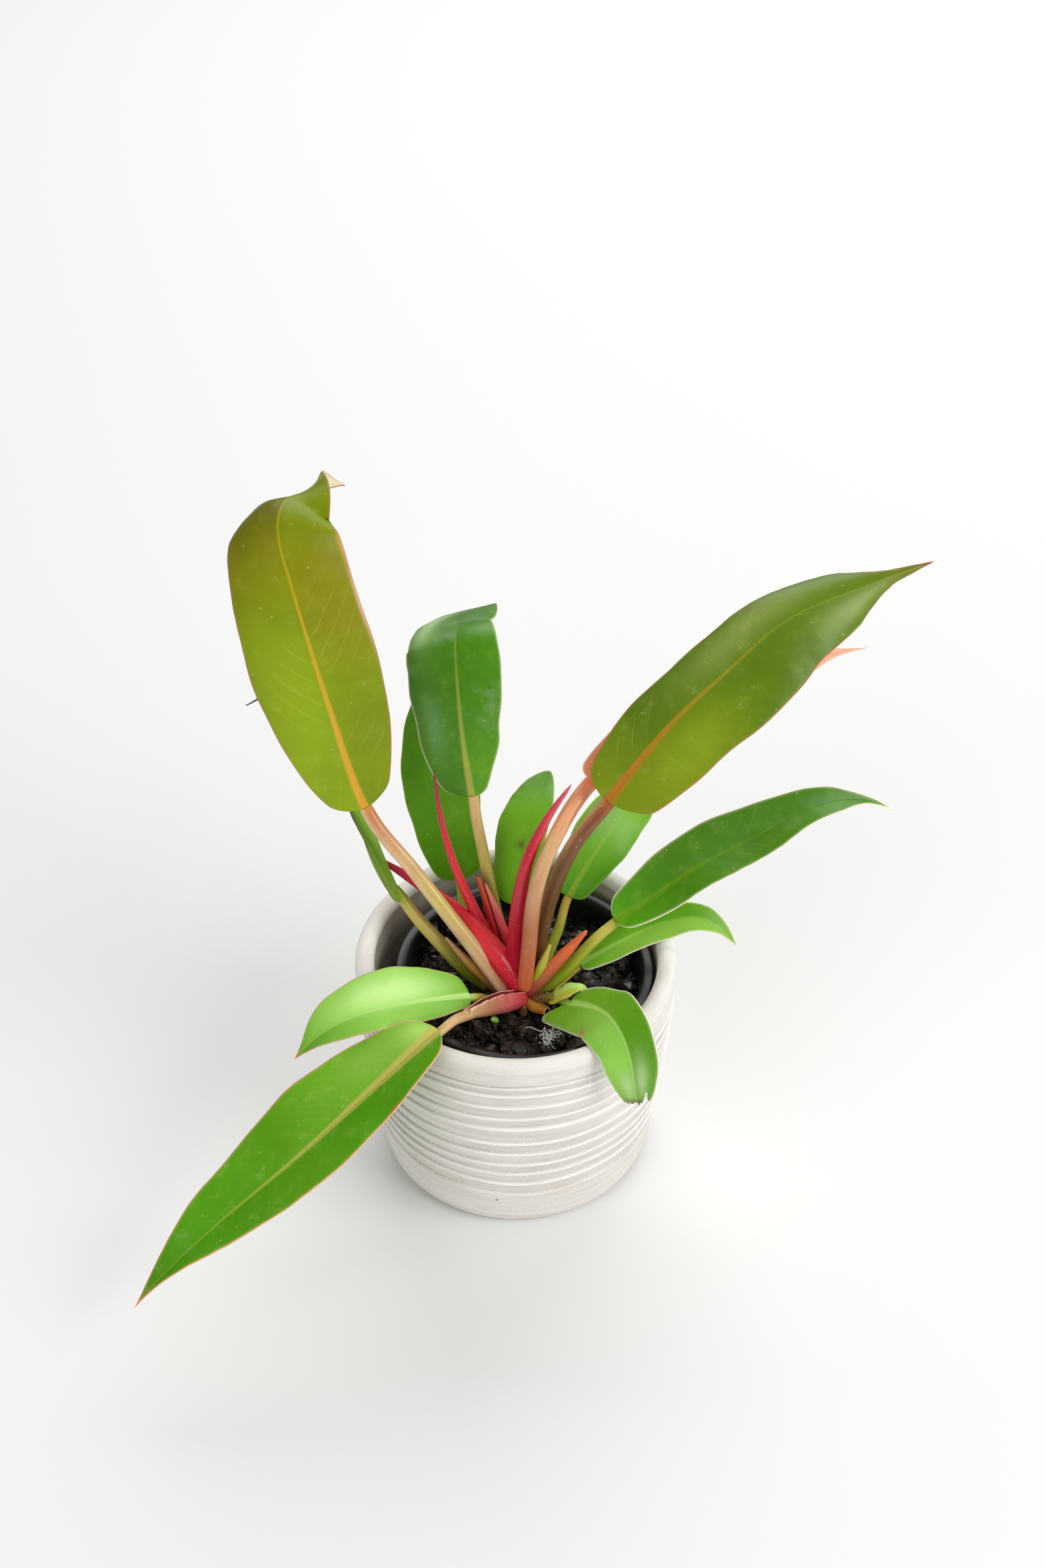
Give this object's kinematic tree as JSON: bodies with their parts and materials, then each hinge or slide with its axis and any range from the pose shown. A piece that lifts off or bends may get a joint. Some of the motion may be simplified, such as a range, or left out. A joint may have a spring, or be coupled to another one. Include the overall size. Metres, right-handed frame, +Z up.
{
  "type": "potted prince of orange philodendron",
  "caption": "Young philodendron with long pointed bronze, green and salmon leaves on arching stalks, in a black nursery pot inside a pale ribbed ceramic cover pot.",
  "frame": {"origin": "centre of the cover pot's flat base, on the surface it stands on", "axes": "+Z up, -Y towards the viewer of the picture, +X to the viewer's right"},
  "size_m": [0.3522, 0.2592, 0.3245],
  "materials": {
    "cover_pot": "pale grey-white unglazed stoneware with throwing grooves, specks and small pits",
    "nursery_pot": "thin black moulded plastic, glossy with light scuffs",
    "potting_mix": "damp dark potting mix with bark, crumbly",
    "stem": "living stem, satin",
    "blade_bronze": "leathery leaf, bronze to olive, satin sheen, orange midrib",
    "blade_green": "leathery leaf, green, satin sheen, fine pale margin",
    "blade_salmon": "young leaf, salmon orange, soft sheen",
    "blade_pale": "juvenile leaf, pale yellow-green, soft",
    "stalk_red": "leaf stalk, pinkish red to brown, glossy",
    "stalk_tan": "leaf stalk, tan, satin",
    "stalk_green": "leaf stalk, yellow-green, satin",
    "sheath_red": "leaf sheath or rolled new leaf, glossy red to pink",
    "sheath_green": "leaf sheath, yellow-green, satin",
    "sheath_tan": "dry leaf sheath, tan to brown, papery"
  },
  "bodies": {
    "root": {"cover_pot": "cover_pot", "nursery_pot": "nursery_pot", "soil": "potting_mix", "stem": "stem", "leaf_01_blade": "blade_bronze", "leaf_02_blade": "blade_green", "leaf_03_blade": "blade_green", "leaf_04_blade": "blade_green", "leaf_05_blade": "blade_green", "leaf_06_blade": "blade_bronze", "leaf_07_blade": "blade_salmon", "leaf_08_blade": "blade_green", "leaf_09_blade": "blade_green", "leaf_10_blade": "blade_green", "leaf_11_blade": "blade_green", "leaf_12_blade": "blade_green", "leaf_13_blade": "blade_green", "leaf_14_blade": "blade_pale", "leaf_01_stalk": "stalk_red", "leaf_02_stalk": "stalk_tan", "leaf_03_stalk": "stalk_green", "leaf_04_stalk": "stalk_green", "leaf_05_stalk": "stalk_green", "leaf_06_stalk": "stalk_red", "leaf_07_stalk": "stalk_red", "leaf_08_stalk": "stalk_green", "leaf_09_stalk": "stalk_green", "leaf_10_stalk": "stalk_green", "leaf_11_stalk": "stalk_tan", "leaf_12_stalk": "stalk_green", "leaf_13_stalk": "stalk_green", "leaf_14_stalk": "stalk_green", "rolled_leaf_left": "sheath_red", "rolled_leaf_right": "sheath_red", "open_sheath_back": "sheath_red", "wide_sheath_left": "sheath_red", "orange_sheath_right": "sheath_red", "green_sheath": "sheath_green", "tan_sheath_left": "sheath_tan", "torn_sheath_front": "sheath_red", "brown_stub_front": "sheath_tan"}
  },
  "joints": []
}
